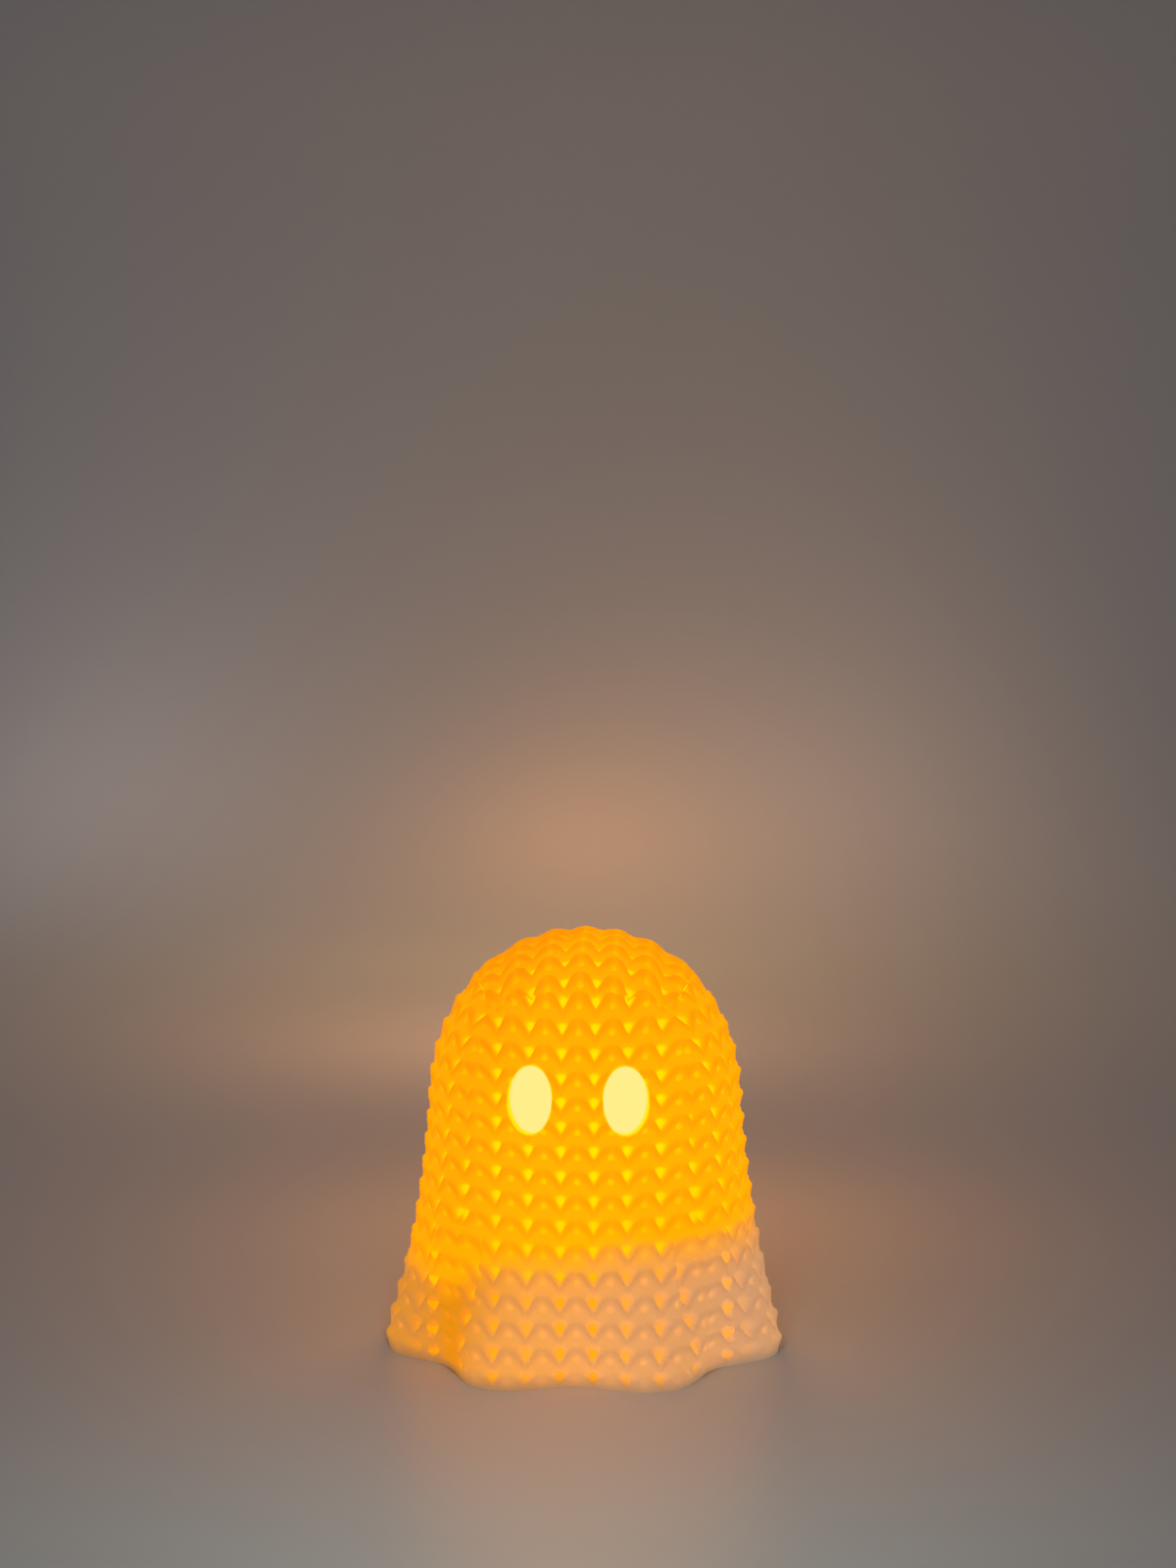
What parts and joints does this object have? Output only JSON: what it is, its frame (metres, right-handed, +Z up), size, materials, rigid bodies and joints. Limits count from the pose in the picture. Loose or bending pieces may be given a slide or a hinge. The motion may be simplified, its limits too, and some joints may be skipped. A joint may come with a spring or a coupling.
{
  "type": "ghost tealight holder",
  "caption": "Hollow ghost-shaped light cover with a knitted relief, oval eye windows and a wavy hem, standing over a battery tealight with a switch and a battery door.",
  "frame": {"origin": "on the table under the middle of the shell's outline; the tealight's axis is the Z axis and the shell's own axis lies 1.3 mm in front of it", "axes": "+Z up, the face with the two eyes looks along -Y, +X to the viewer's right"},
  "size_m": [0.0716, 0.0704, 0.0759],
  "materials": {
    "shell_plastic": "printed translucent white plastic, lit warm from inside",
    "white_plastic": "satin moulded",
    "flame_plastic": "frosted translucent, lit",
    "lamp_resin": "clear epoxy",
    "tinned_wire": "tinned",
    "cell_steel": "nickel plated",
    "contact_steel": "spring steel strip",
    "black_plastic": "moulded"
  },
  "bodies": {
    "tealight": {"tealight_cup": "white_plastic", "flame_tip": "flame_plastic", "led_lamp": "lamp_resin", "led_leg_positive": "tinned_wire", "led_leg_negative": "tinned_wire", "base_plate": "white_plastic", "coin_cell": "cell_steel", "contact_positive": "contact_steel", "contact_negative": "contact_steel"},
    "shell": {"ghost_shell": "shell_plastic"},
    "switch": {"switch_slider": "black_plastic", "switch_contact": "contact_steel"},
    "door": {"battery_door": "white_plastic"},
    "screw": {"door_screw": "cell_steel"}
  },
  "joints": [
    {"name": "shell_lift", "type": "slide", "parent": "tealight", "child": "shell", "axis": [0, 0, 1], "range_m": [0, 0.08]},
    {"name": "switch_slide", "type": "slide", "parent": "tealight", "child": "switch", "axis": [0, 1, 0], "range_m": [0, 0.0025]},
    {"name": "battery_door_hinge", "type": "hinge", "parent": "tealight", "child": "door", "pos_m": [-0.0042, -0.01319, 0.00065], "axis": [-1, 0, 0], "range_deg": [0, 75]},
    {"name": "door_screw_turn", "type": "hinge", "parent": "door", "child": "screw", "pos_m": [-0.0042, 0.01279, 0.0005], "axis": [0, 0, 1], "continuous": true}
  ]
}
